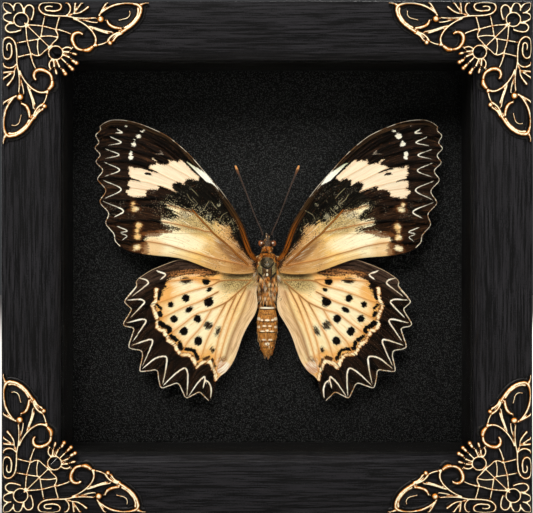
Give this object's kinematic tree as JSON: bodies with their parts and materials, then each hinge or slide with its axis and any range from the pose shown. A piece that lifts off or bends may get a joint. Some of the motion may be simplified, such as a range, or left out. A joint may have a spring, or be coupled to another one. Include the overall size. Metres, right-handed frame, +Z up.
{
  "type": "framed butterfly specimen",
  "caption": "Square shadow-box frame in black wood with brass filigree corners, holding a set leopard lacewing butterfly on a dark board behind glass.",
  "frame": {"origin": "middle of the bottom rail's underside, halfway through the whole piece's depth", "axes": "+Z up, the glass front faces -Y, +X to the right of someone looking at the front"},
  "size_m": [0.13, 0.0336, 0.1255],
  "materials": {
    "black_wood": "black stained, fine grain, satin",
    "clear_glass": "clear, polished",
    "black_lining": "black, matt",
    "black_paper": "black paper embossed like leather, matt",
    "hardboard": "brown, smooth",
    "steel": "plain",
    "hanger_steel": "brass plated",
    "antique_brass": "antique gold, dark in the recesses",
    "forewing_scales": "dusty scales, matt",
    "hindwing_scales": "dusty scales, matt",
    "body_fur": "hairy, matt",
    "antenna_brown": "dry, satin"
  },
  "bodies": {
    "root": {"rail_top": "black_wood", "rail_bottom": "black_wood", "rail_left": "black_wood", "rail_right": "black_wood", "glass_pane": "clear_glass", "spacer_top": "black_lining", "spacer_bottom": "black_lining", "spacer_left": "black_lining", "spacer_right": "black_lining", "mount_board": "black_paper", "back_panel": "hardboard", "back_tab_top": "steel", "back_tab_bottom": "steel", "back_tab_left": "steel", "back_tab_right": "steel", "saw_hanger": "hanger_steel", "hanger_nail_left": "hanger_steel", "hanger_nail_right": "hanger_steel", "filigree_tl": "antique_brass", "filigree_tr": "antique_brass", "filigree_bl": "antique_brass", "filigree_br": "antique_brass", "forewing_left": "forewing_scales", "forewing_right": "forewing_scales", "hindwing_left": "hindwing_scales", "hindwing_right": "hindwing_scales", "body": "body_fur", "antenna_left": "antenna_brown", "antenna_right": "antenna_brown"}
  },
  "joints": []
}
